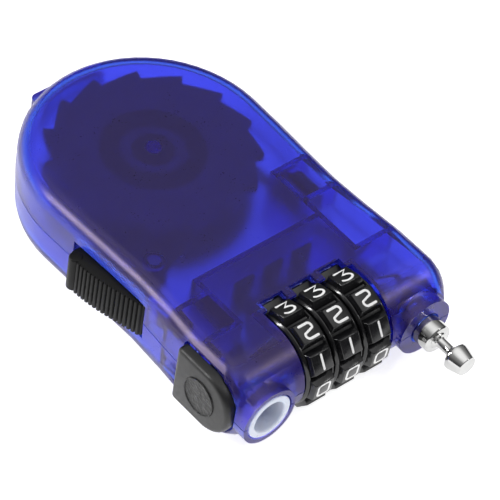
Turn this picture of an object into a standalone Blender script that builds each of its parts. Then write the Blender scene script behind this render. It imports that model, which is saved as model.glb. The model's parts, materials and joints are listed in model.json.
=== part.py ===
"""A cable lock with a retracting cable: two see-through shells, a sprung cable drum with a toothed rim, a
side lever with a pawl, a pin plug on the cable, and three dials on a spindle behind a release button.

Sizes are in millimetres and become metres when a mesh is made. The frame: X to the right seen from the
dial end, Y from the dial end to the drum end, Z out of the cover. The origin is on the back face, under the
drum's axis.
"""

import math

import bmesh
import bpy
from mathutils import Matrix, Vector

MM = 0.001
GAP = 0.3  # running gap between neighbours
SEAM_GAP = 0.2

# Case
CASE_RADIUS = 24.5
CASE_THICKNESS = 17.0
SEAM_Z = CASE_THICKNESS / 2
WALL = 1.6
RIB = 1.0
TOP_FILLET = 3.5
BACK_FILLET = 2.5
BACK_DRAFT = 0.45
WAIST_Y = -25.0
WAIST_HALF_WIDTH = 23.65
FRONT_HALF_WIDTH = 24.8
FRONT_SIDE_Y = -43.0
FRONT_CORNER = 3.5
BARREL_Y = -46.8
BARREL_RADIUS = CASE_THICKNESS / 2
REAR_ARC_STEPS = 30
SIDE_STEPS = 6
CORNER_STEPS = 3
LEVEL_ANGLE = 11.25
FLAT_ANGLE = 0.2
LUG_HALF_WIDTH = 7.5
LUG_REACH = 1.9  # past the drum end
LUG_TOP = SEAM_Z + 2.7
LUG_BOTTOM = SEAM_Z - 4.0
LUG_CORNER = 1.2

# Dials, their sleeves and the spindle
DIAL_COUNT = 3
DIAL_PITCH = 6.73
DIAL_WIDTH = DIAL_PITCH - GAP
PAD_COUNT = 10
PAD_FACE_RADIUS = 9.65
PAD_FACE_HALF = (2.15, 1.85)  # along the axis, around the dial
PAD_FOOT_HALF = (2.5, 2.25)
PAD_PHASE = 104.0  # of the pad with the 3, from the front over the top, in degrees
RIM_RADIUS = 8.75
RIM_CHAMFER = 0.5
GROOVE_RADIUS = 8.2
GROOVE_HALF = (2.4, 0.5)
SLEEVE_RADIUS = 4.3
SLEEVE_KEY = (5.0, 1.2, 2.4)  # outer radius, width, half length
SLEEVE_CHAMBER = 3.5
SLEEVE_WEB = 1.2
SPINDLE_RADIUS = 1.6
FIN = (3.1, 1.2, 1.0)  # outer radius, width, thickness
FIN_OFFSET = -1.1  # of a fin's middle from its dial's middle
WINDOW_HALF_WIDTH = DIAL_COUNT * DIAL_PITCH / 2 + GAP
BEARING_WALL = 1.4
BEARING_FACE_X = WINDOW_HALF_WIDTH + BEARING_WALL
SPINDLE_RIGHT_END = BEARING_FACE_X + 1.4
SPINDLE_HOLE_END = BEARING_FACE_X + 2.2
TENON_RADIUS = 1.2  # of the spindle's end in the latch plate
TAB_EDGE_Y = -42.5
NOTCH_EDGE_Y = -40.3
NOTCH_HALF_WIDTH = 2.55

# Drum, mainspring and cable
TOOTH_COUNT = 15
TOOTH_TIP_RADIUS = 20.3
TOOTH_ROOT_RADIUS = 18.4
TOOTH_PHASE = 131.4
TOOTH_STEPS = 4
RATCHET_Z = (CASE_THICKNESS - WALL - 2.6, CASE_THICKNESS - WALL - 0.7)
ARBOR_RADIUS = 3.7
ARBOR_BORE = 1.9
CORE_RADIUS = 12.8
CORE_WALL = 1.2
CORE_FOOT_Z = 4.0
FLANGE_RADIUS = 19.5
FLANGE_Z = (2.5, 3.7)
TOP_RECESS = (5.7, 10.2, 0.35)  # inner radius, outer radius, depth
WASHER_RADIUS = 8.0
CABLE_RADIUS = 1.1
CABLE_ROWS = 4
CABLE_LAYERS = 2
SPRING_TURNS = 6
SPRING_STRIP = 0.35

# Pin plug, its park at the right and the socket at the left
BOSS_RADIUS = 5.85
BOSS_FACE_Y = -56.3
SOCKET_X = -19.2
OUTLET_X = 17.25
FERRULE_RADIUS = 2.95
FERRULE_FACE_Y = -59.9
FERRULE_TAIL_Y = -52.0
PLUG_BORE = 2.1
PLUG_BORE_END = 58.2
CRIMP = (1.4, 1.8)  # inner and outer radius
CRIMP_FRONT_Y = -57.6
CABLE_REAR_Y = -9.8
CABLE_FRONT_Y = -57.0
OUTLET_BUSH = (4.4, -51.7, -49.7)  # radius, front and rear of the cable's bush
OUTLET_BOSS_REAR_Y = -48.9
NECK_RADIUS = 1.02
NECK_LENGTH = 4.0
HEAD_RADIUS = 2.7
HEAD_LENGTH = 3.6
TIP_RADIUS = 1.97
BUSH_RADIUS = 4.65
BUSH_LIP = 2.65
BUSH_TAIL_RADIUS = 3.75
BUSH_LENGTH = 5.15
BUSH_MOUTH = 3.3
BUSH_THROAT = 3.1

# Release button and latch
BUTTON_RADIUS = 6.5
BUTTON_REAR_Y = -38.8
BUTTON_FACE_X = -26.4
BUTTON_BACK_X = -24.3
BUTTON_TRAVEL = 1.2
BUTTON_RIM = 0.7
THUMB_MARK_RADIUS = 3.7
STEM_Y = (-44.1, -42.4)
STEM_HALF_HEIGHT = 1.8
LATCH_X = (-BEARING_FACE_X - 4.205, -BEARING_FACE_X - 3.205)
LATCH_Y = (-50.6, -42.0)
LATCH_HALF_HEIGHT = 4.2
BLADE_THICKNESS = 1.0
BLADE_LEFT_X = -21.5
BLADE_BITE = 1.1

# Recoil lever and pawl
PIVOT_X = -17.5
PIVOT_Y = -21.6
PIVOT_SHANK = 1.0
PIVOT_HEAD = (1.5, 0.7, 0.1)  # radius, height, and how far it is sunk
PIVOT_TOP_Z = CASE_THICKNESS - WALL - GAP
PIVOT_BOSS_RADIUS = 2.0
LEVER_Z = (4.9, RATCHET_Z[0] - GAP)
LEVER_WINDOW_Z = (LEVER_Z[0] - GAP, LEVER_Z[1] + GAP)
LEVER_WINDOW_Y = (-27.3, -8.0)
LEVER_RIBS = 17
LEVER_RIB_DEPTH = 0.4
LEVER_NOSE_Y = -11.2
HUB_RADIUS = 2.6
PAWL_Z = (RATCHET_Z[0], RATCHET_Z[0] + 1.5)
PAWL_HUB_RADIUS = 2.4
PAWL_ANGLE = -113.0  # of its tip, from the drum's axis

# Inner walls: (low x, high x, low y, high y)
WALL_A_X = 14.2
LEFT_WALL_X = -14.5
CELL_REAR_Y = -17.1
CELL_MID_Y = -25.4
CROSS_WALL_Y = -29.5
CELL_FRONT_Y = -39.4
LEFT_SHORT_Y = (-32.8, -41.2)
SIDE_REACH = 26.0  # past the case, trimmed to it
GUIDE_X = 19.6  # right side of the cable's guide block
GUIDE_TOP_Z = CASE_THICKNESS - 3.8

# Detent spring
DETENT_Y = (-33.9, -33.3)
DETENT_FINGER_HALF = 2.1
DETENT_TOP_Z = CASE_THICKNESS - 2.4
DETENT_NOSE_Z = (SEAM_Z - 0.7, SEAM_Z + 0.7)
DETENT_WALL = (9.0, 0.8, 4.5)  # half length, thickness, height


# Meshes

def new_object(name, bm, material=None):
    """One object from a bmesh in millimetres."""
    bmesh.ops.remove_doubles(bm, verts=bm.verts, dist=1e-5)
    bmesh.ops.recalc_face_normals(bm, faces=bm.faces)
    bmesh.ops.scale(bm, verts=bm.verts, vec=(MM, MM, MM))
    mesh = bpy.data.meshes.new(name)
    bm.to_mesh(mesh)
    bm.free()
    obj = bpy.data.objects.new(name, mesh)
    bpy.context.scene.collection.objects.link(obj)
    if material:
        obj.data.materials.append(material)
    return obj


def finish(obj, name, material, angle=32):
    """Names a solid, gives it its material and shades its round faces smooth."""
    obj.name = name
    obj.data.name = name
    obj.data.materials.clear()
    obj.data.materials.append(material)
    obj.data.shade_smooth()
    obj.data.set_sharp_from_angle(angle=math.radians(angle))
    return obj


def combine(target, tool, operation):
    """Applies an exact boolean to the target and removes the tool."""
    modifier = target.modifiers.new("combine", "BOOLEAN")
    modifier.operation = operation
    modifier.solver = "EXACT"
    modifier.object = tool
    graph = bpy.context.evaluated_depsgraph_get()
    mesh = bpy.data.meshes.new_from_object(target.evaluated_get(graph))
    target.modifiers.clear()
    old = target.data
    target.data = mesh
    bpy.data.meshes.remove(old)
    old = tool.data
    bpy.data.objects.remove(tool)
    bpy.data.meshes.remove(old)
    return target


def add(target, tool):
    return combine(target, tool, "UNION")


def cut(target, tool):
    return combine(target, tool, "DIFFERENCE")


def keep(target, tool):
    return combine(target, tool, "INTERSECT")


def box(low, high):
    bm = bmesh.new()
    bmesh.ops.create_cube(bm, size=1)
    size = Vector(high) - Vector(low)
    bmesh.ops.scale(bm, verts=bm.verts, vec=size)
    bmesh.ops.translate(bm, verts=bm.verts, vec=(Vector(low) + Vector(high)) / 2)
    return new_object("box", bm)


def turn_to(axis):
    """The turn that takes +Z to the named axis."""
    if axis == "X":
        return Matrix.Rotation(math.radians(90), 4, "Y")
    if axis == "Y":
        return Matrix.Rotation(math.radians(-90), 4, "X")
    return Matrix.Identity(4)


def rod(axis, centre, radius, low, high, segments=28):
    """A cylinder along an axis, from low to high on it."""
    bm = bmesh.new()
    bmesh.ops.create_cone(
        bm, cap_ends=True, segments=segments, radius1=radius, radius2=radius, depth=high - low
    )
    bmesh.ops.translate(bm, verts=bm.verts, vec=(0, 0, (low + high) / 2))
    bmesh.ops.transform(bm, verts=bm.verts, matrix=turn_to(axis))
    bmesh.ops.translate(bm, verts=bm.verts, vec=centre)
    return new_object("rod", bm)


def turned(axis, centre, profile, segments=40):
    """A turned solid: a closed profile of (radius, height) points, spun about an axis."""
    bm = bmesh.new()
    points = [bm.verts.new((radius, 0, height)) for radius, height in profile]
    edges = [bm.edges.new((points[i - 1], points[i])) for i in range(len(points))]
    on_axis = [e for e in edges if all(abs(v.co.x) < 1e-9 for v in e.verts)]
    bmesh.ops.delete(bm, geom=on_axis, context="EDGES_FACES")
    bmesh.ops.spin(
        bm,
        geom=bm.verts[:] + bm.edges[:],
        axis=(0, 0, 1),
        cent=(0, 0, 0),
        steps=segments,
        angle=math.tau,
        use_merge=True,
    )
    bmesh.ops.remove_doubles(bm, verts=bm.verts, dist=1e-5)
    bmesh.ops.transform(bm, verts=bm.verts, matrix=turn_to(axis))
    bmesh.ops.translate(bm, verts=bm.verts, vec=centre)
    return new_object("turned", bm)


def tube(axis, centre, outer, inner, low, high, segments=40):
    profile = ((outer, low), (outer, high), (inner, high), (inner, low))
    return turned(axis, centre, profile, segments)


def plate(outline, low, high, axis="Z"):
    """An outline extruded along an axis. Along Z it is (x, y), and along X it is (y, z)."""
    bm = bmesh.new()
    if axis == "Z":
        corners = [bm.verts.new((a, b, low)) for a, b in outline]
        reach = (0, 0, high - low)
    else:
        corners = [bm.verts.new((low, a, b)) for a, b in outline]
        reach = (high - low, 0, 0)
    face = bm.faces.new(corners)
    made = bmesh.ops.extrude_face_region(bm, geom=[face])
    moved = [v for v in made["geom"] if isinstance(v, bmesh.types.BMVert)]
    bmesh.ops.translate(bm, verts=moved, vec=reach)
    return new_object("plate", bm)


def soften(obj, width, angle=40, segments=2):
    """A small rounded bevel on the edges sharper than an angle."""
    bm = bmesh.new()
    bm.from_mesh(obj.data)
    edges = [
        e for e in bm.edges if len(e.link_faces) == 2 and e.calc_face_angle() > math.radians(angle)
    ]
    bmesh.ops.bevel(
        bm,
        geom=edges,
        offset=width * MM,
        offset_type="OFFSET",
        segments=segments,
        profile=0.5,
        affect="EDGES",
        clamp_overlap=True,
        material=-1,
    )
    bm.to_mesh(obj.data)
    bm.free()
    return obj


def arc(cx, cy, radius, start, end, steps):
    """Points on an arc, in degrees, both ends in."""
    points = []
    for i in range(steps + 1):
        angle = math.radians(start + (end - start) * i / steps)
        points.append((cx + radius * math.cos(angle), cy + radius * math.sin(angle)))
    return points


# Materials

def material(name, colour, roughness, metallic=0.0, alpha=1.0):
    made = bpy.data.materials.new(name)
    made.use_nodes = True
    made.diffuse_color = (*colour, alpha)
    shader = made.node_tree.nodes["Principled BSDF"]
    shader.inputs["Base Color"].default_value = (*colour, 1)
    shader.inputs["Roughness"].default_value = roughness
    shader.inputs["Metallic"].default_value = metallic
    shader.inputs["Alpha"].default_value = alpha
    return made


# Case

def smoothstep(t):
    t = min(max(t, 0.0), 1.0)
    return t * t * (3 - 2 * t)


def side_half_width(y):
    """Half the case's width at the seam: the drum end's radius, then a slight waist, then the dial end."""
    if y > WAIST_Y:
        return CASE_RADIUS + (WAIST_HALF_WIDTH - CASE_RADIUS) * smoothstep(y / WAIST_Y)
    share = (y - WAIST_Y) / (FRONT_SIDE_Y - WAIST_Y)
    return WAIST_HALF_WIDTH + (FRONT_HALF_WIDTH - WAIST_HALF_WIDTH) * smoothstep(share)


def level_inset(z, depth):
    """How far the case's side lies inside its seam outline at a height, for a skin that deep under it."""
    inset = BACK_DRAFT * max(0.0, 1 - z / SEAM_Z)
    for fillet, rise in ((TOP_FILLET, z - (CASE_THICKNESS - TOP_FILLET)), (BACK_FILLET, BACK_FILLET - z)):
        radius = fillet - depth
        if rise > 0 and radius > 0:
            inset += radius - math.sqrt(max(radius * radius - min(rise, radius) ** 2, 0.0))
    return inset + depth


def case_loop(z, depth):
    """The case's outline at a height, for the skin that lies depth under the outside."""
    inset = level_inset(z, depth)
    barrel = BARREL_RADIUS - depth
    front = BARREL_Y - math.sqrt(max(barrel * barrel - (z - SEAM_Z) ** 2, 0.0))
    corner = max(FRONT_CORNER - inset, 0.4)
    loop = arc(0, 0, CASE_RADIUS - inset, 0, 180, REAR_ARC_STEPS)
    left = []
    for i in range(1, SIDE_STEPS + 1):
        y = (front + corner) * i / SIDE_STEPS
        left.append((-(side_half_width(y) - inset), y))
    corner_x = side_half_width(front + corner) - inset - corner
    left += arc(-corner_x, front + corner, corner, 180, 270, CORNER_STEPS)[1:]
    right = [(-x, y) for x, y in reversed(left)]
    return loop + left + right


def case_levels(depth, low, high):
    """Heights between low and high, closer together where the dial end curves in."""
    barrel = BARREL_RADIUS - depth
    steps = round(90 / LEVEL_ANGLE)
    levels = [SEAM_Z + barrel * math.sin(math.radians(LEVEL_ANGLE * i)) for i in range(-steps, steps + 1)]
    inside = [z for z in levels if low + 0.05 < z < high - 0.05]
    return [low] + inside + [high]


def case_solid(depth, low, high):
    """The case's outer shape, or a skin under it, between two heights."""
    bm = bmesh.new()
    loops = []
    for z in case_levels(depth, low, high):
        loops.append([bm.verts.new((x, y, z)) for x, y in case_loop(z, depth)])
    for lower, upper in zip(loops, loops[1:]):
        for i in range(len(lower)):
            bm.faces.new((lower[i - 1], lower[i], upper[i], upper[i - 1]))
    bm.faces.new(loops[0])
    bm.faces.new(loops[-1])
    bmesh.ops.dissolve_limit(bm, angle_limit=math.radians(FLAT_ANGLE), verts=bm.verts, edges=bm.edges)
    return new_object("case", bm)


def lug_outline():
    reach = CASE_RADIUS + LUG_REACH
    left = arc(-LUG_HALF_WIDTH + LUG_CORNER, reach - LUG_CORNER, LUG_CORNER, 180, 90, 4)
    right = [(-x, y) for x, y in reversed(left)]
    return [(-LUG_HALF_WIDTH, CASE_RADIUS - 3)] + left + right + [(LUG_HALF_WIDTH, CASE_RADIUS - 3)]


def button_outline(grow):
    """The button's side view as (y, z), grown all round by a clearance."""
    radius = BUTTON_RADIUS + grow
    corner = 1.0
    rear = BUTTON_REAR_Y + grow
    points = arc(BARREL_Y, SEAM_Z, radius, 270, 90, 12)
    points += arc(rear - corner, SEAM_Z + radius - corner, corner, 90, 0, 4)
    points += arc(rear - corner, SEAM_Z - radius + corner, corner, 0, -90, 4)
    return points


def joined(pieces):
    whole = pieces[0]
    for piece in pieces[1:]:
        add(whole, piece)
    return whole


def rib_boxes(low, high, cable_limit, low_side):
    """The inner walls of one shell, from low to high; those that cross the cable stop short of it."""
    half = RIB / 2
    crossing = (cable_limit, high) if low_side else (low, cable_limit)
    plain = (low, high)
    walls = [
        ((WALL_A_X - half, CELL_FRONT_Y - half), (WALL_A_X + half, CELL_REAR_Y + half), plain),
        ((LEFT_WALL_X - half, LEFT_SHORT_Y[1] - half), (LEFT_WALL_X + half, CROSS_WALL_Y + half), plain),
        ((LEFT_WALL_X, CROSS_WALL_Y - half), (WALL_A_X, CROSS_WALL_Y + half), plain),
        ((-SIDE_REACH, LEFT_SHORT_Y[0] - half), (LEFT_WALL_X, LEFT_SHORT_Y[0] + half), plain),
        ((-SIDE_REACH, LEFT_SHORT_Y[1] - half), (LEFT_WALL_X, LEFT_SHORT_Y[1] + half), plain),
    ]
    for y in (CELL_REAR_Y, CELL_MID_Y, CELL_FRONT_Y):
        walls.append(((WALL_A_X, y - half), (SIDE_REACH, y + half), crossing))
    return [box((x0, y0, z0), (x1, y1, z1)) for (x0, y0), (x1, y1), (z0, z1) in walls]


def bearing_walls(low, high):
    """The walls beside the dials, which carry the spindle."""
    inner = WINDOW_HALF_WIDTH - 0.4
    outer = WINDOW_HALF_WIDTH + BEARING_WALL
    rear = TAB_EDGE_Y + 1.5
    front = BARREL_Y - BARREL_RADIUS - 1
    left = box((-outer, front, low), (-inner, rear, high))
    right = box((inner, front, low), (outer, rear, high))
    return [left, right]


def shell(upper):
    """One shell with its walls, bosses and openings."""
    if upper:
        low, high = SEAM_Z + SEAM_GAP / 2, CASE_THICKNESS
        cavity = case_solid(WALL, low - 0.7, CASE_THICKNESS - WALL)
        ribs_low, ribs_high = low + GAP, CASE_THICKNESS
        cable_limit = SEAM_Z + CABLE_RADIUS + 2 * GAP
        lug = (low, LUG_TOP)
    else:
        low, high = 0.0, SEAM_Z - SEAM_GAP / 2
        cavity = case_solid(WALL, WALL, high + 0.7)
        ribs_low, ribs_high = 0.0, high - GAP
        cable_limit = SEAM_Z - CABLE_RADIUS - 2 * GAP
        lug = (LUG_BOTTOM, high)
    body = case_solid(0, low, high)
    add(body, plate(lug_outline(), *lug))
    cut(body, cavity)
    ribs = joined(rib_boxes(ribs_low, ribs_high, cable_limit, upper) + bearing_walls(low, high))
    keep(ribs, case_solid(WALL / 2, max(low, WALL / 2), min(high, CASE_THICKNESS - WALL / 2)))
    add(body, ribs)
    slab = ((-30, -60, low), (30, -40, high))
    for x, inner_y in ((SOCKET_X, BOSS_FACE_Y + BUSH_LENGTH + 0.2), (OUTLET_X, OUTLET_BOSS_REAR_Y)):
        boss = rod("Y", (x, 0, SEAM_Z), BOSS_RADIUS, BOSS_FACE_Y, inner_y, 44)
        add(body, keep(boss, box(*slab)))
    cut_openings(body)
    return body


def cut_openings(body):
    """The dial window, the sockets for the plug, and the holes for button, spindle and lever."""
    low, high = -1, CASE_THICKNESS + 1
    front = BARREL_Y - BARREL_RADIUS - 5
    cut(body, box((-WINDOW_HALF_WIDTH, front, low), (WINDOW_HALF_WIDTH, TAB_EDGE_Y, high)))
    axis = (0, BARREL_Y, SEAM_Z)
    cut(body, rod("X", axis, RIM_RADIUS + GAP, -WINDOW_HALF_WIDTH, WINDOW_HALF_WIDTH, 48))
    sweep = math.hypot(PAD_FACE_RADIUS, PAD_FACE_HALF[1]) + GAP
    for x in dial_places():
        cut(body, rod("X", axis, sweep, x - NOTCH_HALF_WIDTH, x + NOTCH_HALF_WIDTH, 48))
        notch_front = TAB_EDGE_Y - 1
        cut(body, box((x - NOTCH_HALF_WIDTH, notch_front, low), (x + NOTCH_HALF_WIDTH, NOTCH_EDGE_Y, high)))
    cut(body, rod("X", (0, BARREL_Y, SEAM_Z), SPINDLE_RADIUS + GAP, -SPINDLE_HOLE_END, SPINDLE_HOLE_END))
    lip_end = BOSS_FACE_Y + BUSH_LIP + GAP
    socket = (SOCKET_X, 0, SEAM_Z)
    cut(body, rod("Y", socket, BUSH_RADIUS + GAP, BOSS_FACE_Y - 1, lip_end, 40))
    cut(body, rod("Y", socket, BUSH_TAIL_RADIUS + GAP, BOSS_FACE_Y - 1, BOSS_FACE_Y + BUSH_LENGTH + 1, 40))
    outlet = (OUTLET_X, 0, SEAM_Z)
    cut(body, rod("Y", outlet, FERRULE_RADIUS + GAP, BOSS_FACE_Y - 1, FERRULE_TAIL_Y, 40))
    cut(body, rod("Y", outlet, OUTLET_BUSH[0] + GAP, OUTLET_BUSH[1] - GAP, OUTLET_BUSH[2] + GAP, 36))
    cut(body, rod("Y", outlet, CABLE_RADIUS + 2 * GAP, FERRULE_TAIL_Y, OUTLET_BOSS_REAR_Y + 1, 24))
    cut(body, plate(button_outline(GAP), -30, BUTTON_BACK_X + BUTTON_TRAVEL + 0.2, "X"))
    window_low = (-30, LEVER_WINDOW_Y[0], LEVER_WINDOW_Z[0])
    window_high = (PIVOT_X - HUB_RADIUS - 1, LEVER_WINDOW_Y[1], LEVER_WINDOW_Z[1])
    cut(body, box(window_low, window_high))


def upper_shell(look):
    body = shell(True)
    top = CASE_THICKNESS - WALL / 2
    add(body, rod("Z", (0, 0, 0), ARBOR_BORE - GAP, SEAM_Z + SEAM_GAP / 2, top, 20))
    pivot = (PIVOT_X, PIVOT_Y, 0)
    add(body, rod("Z", pivot, PIVOT_BOSS_RADIUS, PAWL_Z[1] + GAP, top, 20))
    cut(body, rod("Z", pivot, PIVOT_SHANK + GAP, SEAM_Z, PIVOT_TOP_Z + GAP, 16))
    return finish(body, "upper_shell", look)


def lower_shell(look):
    body = shell(False)
    floor = WALL / 2
    add(body, rod("Z", (0, 0, 0), ARBOR_BORE - GAP, floor, SEAM_Z - SEAM_GAP / 2, 20))
    pivot = (PIVOT_X, PIVOT_Y, 0)
    head_radius, head_height, sink = PIVOT_HEAD
    add(body, rod("Z", pivot, PIVOT_BOSS_RADIUS, floor, LEVER_Z[0] - GAP, 20))
    cut(body, rod("Z", pivot, PIVOT_SHANK + GAP, -1, SEAM_Z, 16))
    cut(body, rod("Z", pivot, head_radius + GAP, -1, sink + head_height + GAP, 24))
    half_length, thickness, height = DETENT_WALL
    for y in (DETENT_Y[0] - GAP - thickness, DETENT_Y[1] + GAP):
        add(body, box((-half_length, y, floor), (half_length, y + thickness, height)))
    return finish(body, "lower_shell", look)


# Dials and spindle

def dial_places():
    middle = (DIAL_COUNT - 1) / 2
    return [(i - middle) * DIAL_PITCH for i in range(DIAL_COUNT)]


def dial_pad(index):
    """One raised pad, as a frustum with its face at the top, turned to its place on the dial."""
    bm = bmesh.new()
    corners = ((-1, -1), (1, -1), (1, 1), (-1, 1))
    foot_z = RIM_RADIUS - 0.4
    foot = [bm.verts.new((PAD_FOOT_HALF[0] * a, PAD_FOOT_HALF[1] * b, foot_z)) for a, b in corners]
    face = [bm.verts.new((PAD_FACE_HALF[0] * a, PAD_FACE_HALF[1] * b, PAD_FACE_RADIUS)) for a, b in corners]
    bm.faces.new(foot)
    bm.faces.new(face)
    for i in range(4):
        bm.faces.new((foot[i - 1], foot[i], face[i], face[i - 1]))
    angle = math.radians(PAD_PHASE - 90 + index * 360 / PAD_COUNT)
    bmesh.ops.transform(bm, verts=bm.verts, matrix=Matrix.Rotation(-angle, 4, "X"))
    return new_object("pad", bm)


def dial_groove(index):
    bm = bmesh.new()
    bmesh.ops.create_cube(bm, size=2)
    bmesh.ops.scale(bm, verts=bm.verts, vec=(GROOVE_HALF[0], GROOVE_HALF[1], 1))
    bmesh.ops.translate(bm, verts=bm.verts, vec=(0, 0, GROOVE_RADIUS + 1))
    angle = math.radians(PAD_PHASE - 90 + (index + 0.5) * 360 / PAD_COUNT)
    bmesh.ops.transform(bm, verts=bm.verts, matrix=Matrix.Rotation(-angle, 4, "X"))
    return new_object("groove", bm)


def dial_mesh(look):
    half = DIAL_WIDTH / 2
    bore = SLEEVE_RADIUS + GAP
    profile = (
        (bore, -half),
        (RIM_RADIUS - RIM_CHAMFER, -half),
        (RIM_RADIUS, -half + RIM_CHAMFER),
        (RIM_RADIUS, half - RIM_CHAMFER),
        (RIM_RADIUS - RIM_CHAMFER, half),
        (bore, half),
    )
    body = turned("X", (0, 0, 0), profile, 30)
    for index in range(PAD_COUNT):
        add(body, dial_pad(index))
    for index in range(PAD_COUNT):
        cut(body, dial_groove(index))
    radius, width, reach = SLEEVE_KEY
    key = (half + 1, width / 2 + GAP, radius + GAP)
    cut(body, box((-key[0], -key[1], 0), (key[0], key[1], key[2])))
    return finish(body, "dial", look, 20)


def dials(look):
    first = dial_mesh(look)
    made = []
    for number, x in enumerate(dial_places(), start=1):
        dial = first if number == 1 else bpy.data.objects.new("dial", first.data)
        if number > 1:
            bpy.context.scene.collection.objects.link(dial)
        dial.name = f"dial_{number}"
        dial.location = (x * MM, BARREL_Y * MM, SEAM_Z * MM)
        made.append(dial)
    return made


def dial_sleeves(look):
    half = DIAL_WIDTH / 2 - 0.1
    bore = SPINDLE_RADIUS + GAP
    profile = (
        (SLEEVE_CHAMBER, -half),
        (SLEEVE_RADIUS, -half),
        (SLEEVE_RADIUS, half),
        (bore, half),
        (bore, half - SLEEVE_WEB),
        (SLEEVE_CHAMBER, half - SLEEVE_WEB),
    )
    first = turned("X", (0, 0, 0), profile, 20)
    radius, width, reach = SLEEVE_KEY
    add(first, box((-reach, -width / 2, SLEEVE_RADIUS - 0.4), (reach, width / 2, radius)))
    slot_half = FIN[1] / 2 + GAP
    cut(first, box((0, -slot_half, 0), (half + 1, slot_half, FIN[0] + GAP)))
    finish(first, "sleeve", look)
    for number, x in enumerate(dial_places(), start=1):
        sleeve = first if number == 1 else bpy.data.objects.new("sleeve", first.data)
        if number > 1:
            bpy.context.scene.collection.objects.link(sleeve)
        sleeve.name = f"dial_sleeve_{number}"
        sleeve.location = (x * MM, BARREL_Y * MM, SEAM_Z * MM)


def spindle(look):
    centre = (0, BARREL_Y, SEAM_Z)
    left = LATCH_X[1] + GAP
    body = rod("X", centre, SPINDLE_RADIUS, left, SPINDLE_RIGHT_END, 32)
    add(body, rod("X", centre, TENON_RADIUS, LATCH_X[0] + 0.1, left + 1, 24))
    radius, width, thickness = FIN
    for x in dial_places():
        middle = x + FIN_OFFSET
        low = (middle - thickness / 2, BARREL_Y - width / 2, SEAM_Z)
        high = (middle + thickness / 2, BARREL_Y + width / 2, SEAM_Z + radius)
        add(body, box(low, high))
    return finish(body, "spindle", look)


def release_button(look):
    body = plate(button_outline(0), BUTTON_FACE_X, BUTTON_BACK_X, "X")
    soften(body, BUTTON_RIM, 50, 2)
    mark = tube("X", (0, BARREL_Y + 1.0, SEAM_Z), THUMB_MARK_RADIUS, THUMB_MARK_RADIUS - 0.25,
                BUTTON_FACE_X - 0.5, BUTTON_FACE_X + 0.2, 48)
    cut(body, mark)
    stem_low = (BUTTON_BACK_X - 0.5, STEM_Y[0], SEAM_Z - STEM_HALF_HEIGHT)
    stem_high = (LATCH_X[0] - GAP, STEM_Y[1], SEAM_Z + STEM_HALF_HEIGHT)
    add(body, box(stem_low, stem_high))
    return finish(body, "release_button", look)


def latch_plate(look):
    """The bracket that the spindle and the button meet, with the blade that catches the plug's head."""
    low_z, high_z = SEAM_Z - LATCH_HALF_HEIGHT, SEAM_Z + LATCH_HALF_HEIGHT
    body = box((LATCH_X[0], LATCH_Y[0], low_z), (LATCH_X[1], LATCH_Y[1], high_z))
    blade_rear = LATCH_Y[0] + BLADE_THICKNESS
    add(body, box((BLADE_LEFT_X, LATCH_Y[0], low_z - 0.2), (LATCH_X[0] + 0.3, blade_rear, high_z + 0.2)))
    notch_radius = HEAD_RADIUS + 0.15
    notch_x = SOCKET_X + HEAD_RADIUS - BLADE_BITE - notch_radius
    cut(body, rod("Y", (notch_x, 0, SEAM_Z), notch_radius, LATCH_Y[0] - 1, blade_rear + 1, 48))
    cut(body, rod("X", (0, BARREL_Y, SEAM_Z), TENON_RADIUS + GAP, LATCH_X[0] - 1, LATCH_X[1] + 1, 32))
    return finish(body, "latch_plate", look)


def coil_object(name, look, points, wire, sides=1):
    """A round wire along points, with filled caps."""
    curve = bpy.data.curves.new(name, "CURVE")
    curve.dimensions = "3D"
    curve.bevel_depth = wire * MM
    curve.bevel_resolution = sides
    curve.use_fill_caps = True
    spline = curve.splines.new("POLY")
    spline.points.add(len(points) - 1)
    for point, place in zip(spline.points, points):
        point.co = (*(Vector(place) * MM), 1)
    obj = bpy.data.objects.new(name, curve)
    bpy.context.scene.collection.objects.link(obj)
    obj.data.materials.append(look)
    return obj


def return_spring(look):
    """The coil round the spindle that pushes the button back out, at its pressed length against the wall."""
    wire = 0.17
    radius = SPINDLE_RADIUS + GAP + wire
    left = LATCH_X[1] + BUTTON_TRAVEL + GAP + wire
    right = -BEARING_FACE_X - wire - 0.15
    turns, steps = 3, 10
    points = []
    for i in range(turns * steps + 1):
        angle = math.tau * i / steps
        x = left + (right - left) * i / (turns * steps)
        points.append((x, BARREL_Y + radius * math.cos(angle), SEAM_Z + radius * math.sin(angle)))
    return coil_object("button_spring", look, points, wire)


def detent_spring(look):
    """The upright plate behind the dials, with a finger and a nose for each."""
    rear, front = DETENT_Y[1], DETENT_Y[0]
    base_half = dial_places()[-1] + DETENT_FINGER_HALF
    body = box((-base_half, front, WALL + GAP), (base_half, rear, DETENT_NOSE_Z[0] - 0.8))
    nose_reach = BARREL_Y + math.hypot(PAD_FACE_RADIUS, PAD_FACE_HALF[1]) + GAP
    for x in dial_places():
        half = DETENT_FINGER_HALF
        add(body, box((x - half, front, DETENT_NOSE_Z[0] - 1.8), (x + half, rear, DETENT_TOP_Z)))
        low, high = DETENT_NOSE_Z
        nose = plate(
            ((front + 0.2, low), (nose_reach, (low + high) / 2 - 0.2), (nose_reach, (low + high) / 2 + 0.2),
             (front + 0.2, high)),
            x - 1.0, x + 1.0, "X",
        )
        add(body, nose)
    return finish(body, "detent_spring", look)


# Plug, bushes and cable

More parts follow.
